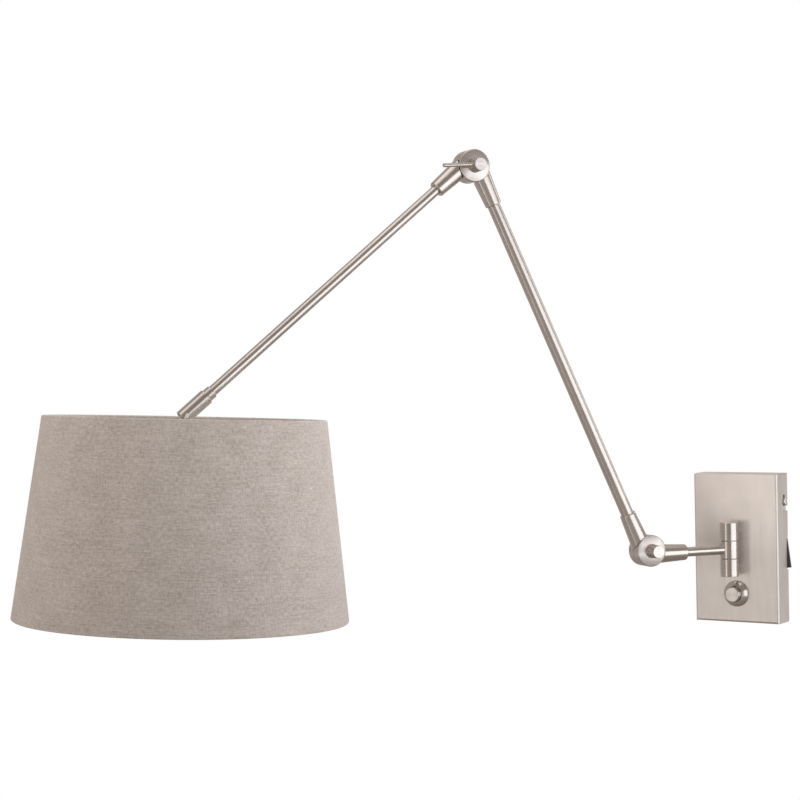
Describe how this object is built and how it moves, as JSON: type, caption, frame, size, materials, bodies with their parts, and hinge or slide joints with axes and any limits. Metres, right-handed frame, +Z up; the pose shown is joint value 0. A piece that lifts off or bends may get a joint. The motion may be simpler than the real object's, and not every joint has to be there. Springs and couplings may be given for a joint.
{
  "type": "swing arm wall lamp",
  "caption": "Wall lamp with a tapered linen drum shade on a swivelling satin metal arm; clamped folding elbows, tilting shade, dimmer knob and switch on the wall box.",
  "frame": {"origin": "middle of the wall bracket's back face, midway between the two wall-screw holes", "axes": "+Z up, +Y into the wall, +X to the right as seen from the room"},
  "size_m": [0.5237, 0.6568, 0.4678],
  "materials": {
    "satin_nickel": "satin, brushed",
    "plated_steel": "zinc plated",
    "black_plastic": "moulded",
    "white_plastic": "plain",
    "rubber": "moulded",
    "white_wire": "powder coated",
    "linen": "slubby plain weave",
    "brass": "plain",
    "aluminium": "plain",
    "opal_glass": "opal"
  },
  "bodies": {
    "wall_unit": {"wall_bracket": "plated_steel", "wire_grommet": "rubber", "wall_box": "satin_nickel", "side_screws": "satin_nickel", "terminal_block": "white_plastic", "upper_knuckle": "satin_nickel", "lower_knuckle": "satin_nickel", "knuckle_nuts": "plated_steel", "hinge_screw": "satin_nickel", "hinge_washers": "white_plastic", "dimmer_body": "black_plastic", "dimmer_nut": "plated_steel", "dimmer_collar": "satin_nickel", "rocker_housing": "black_plastic"},
    "dimmer": {"dimmer_knob": "satin_nickel", "dimmer_shaft": "plated_steel"},
    "switch": {"rocker": "black_plastic"},
    "swing_arm": {"swing_knuckle": "satin_nickel", "swing_rod": "satin_nickel", "swing_elbow": "satin_nickel"},
    "lower_clamp": {"lower_clamp_screw": "satin_nickel"},
    "lower_arm": {"lower_arm_foot": "satin_nickel", "lower_arm_tube": "satin_nickel", "lower_arm_head": "satin_nickel", "lower_friction_washer": "white_plastic", "lower_clamp_nut": "plated_steel"},
    "upper_clamp": {"upper_clamp_screw": "satin_nickel", "upper_clamp_lever": "satin_nickel"},
    "upper_arm": {"upper_arm_foot": "satin_nickel", "upper_arm_tube": "satin_nickel", "upper_arm_collar": "satin_nickel", "shade_knuckle": "satin_nickel", "tilt_pin": "satin_nickel", "upper_friction_washer": "white_plastic", "upper_clamp_nut": "plated_steel"},
    "shade_head": {"lampholder_stem": "satin_nickel", "lampholder_nut": "plated_steel", "lampholder_cap": "black_plastic", "lampholder_body": "black_plastic", "lampholder_shell": "brass", "lampholder_contact": "brass", "shade_ring_nut": "black_plastic", "shade_fitter": "white_wire", "shade_spokes": "white_wire", "shade_top_ring": "white_wire", "shade_bottom_ring": "white_wire", "shade_fabric": "linen", "shade_liner": "white_plastic", "bulb_cap": "aluminium", "bulb_glass": "opal_glass"}
  },
  "joints": [
    {"name": "wall_swivel", "type": "hinge", "parent": "wall_unit", "child": "swing_arm", "pos_m": [0, -0.043, 0], "axis": [0, 0, 1], "range_deg": [-30, 100]},
    {"name": "lower_elbow", "type": "hinge", "parent": "swing_arm", "child": "lower_arm", "pos_m": [-0.05352, -0.11943, 0.004], "axis": [0.8192, -0.5736, 0], "range_deg": [-30, 75]},
    {"name": "upper_elbow", "type": "hinge", "parent": "lower_arm", "child": "upper_arm", "pos_m": [-0.15761, -0.26809, 0.37734], "axis": [-0.8192, 0.5736, 0], "range_deg": [-29, 104]},
    {"name": "shade_tilt", "type": "hinge", "parent": "upper_arm", "child": "shade_head", "pos_m": [-0.32033, -0.50047, 0.14951], "axis": [-0.8192, 0.5736, 0], "range_deg": [-30, 45]},
    {"name": "lower_clamp_turn", "type": "hinge", "parent": "swing_arm", "child": "lower_clamp", "pos_m": [-0.05352, -0.11943, 0.004], "axis": [0.8192, -0.5736, 0], "range_deg": [0, 120]},
    {"name": "upper_clamp_turn", "type": "hinge", "parent": "lower_arm", "child": "upper_clamp", "pos_m": [-0.15761, -0.26809, 0.37734], "axis": [0.8192, -0.5736, 0], "range_deg": [0, 120]},
    {"name": "dimmer_turn", "type": "hinge", "parent": "wall_unit", "child": "dimmer", "pos_m": [0, -0.033, -0.046], "axis": [0, -1, 0], "range_deg": [-135, 135]},
    {"name": "switch_rock", "type": "hinge", "parent": "wall_unit", "child": "switch", "pos_m": [0.04096, -0.0022, -0.006], "axis": [0, 1, 0], "range_deg": [0, 15]}
  ]
}
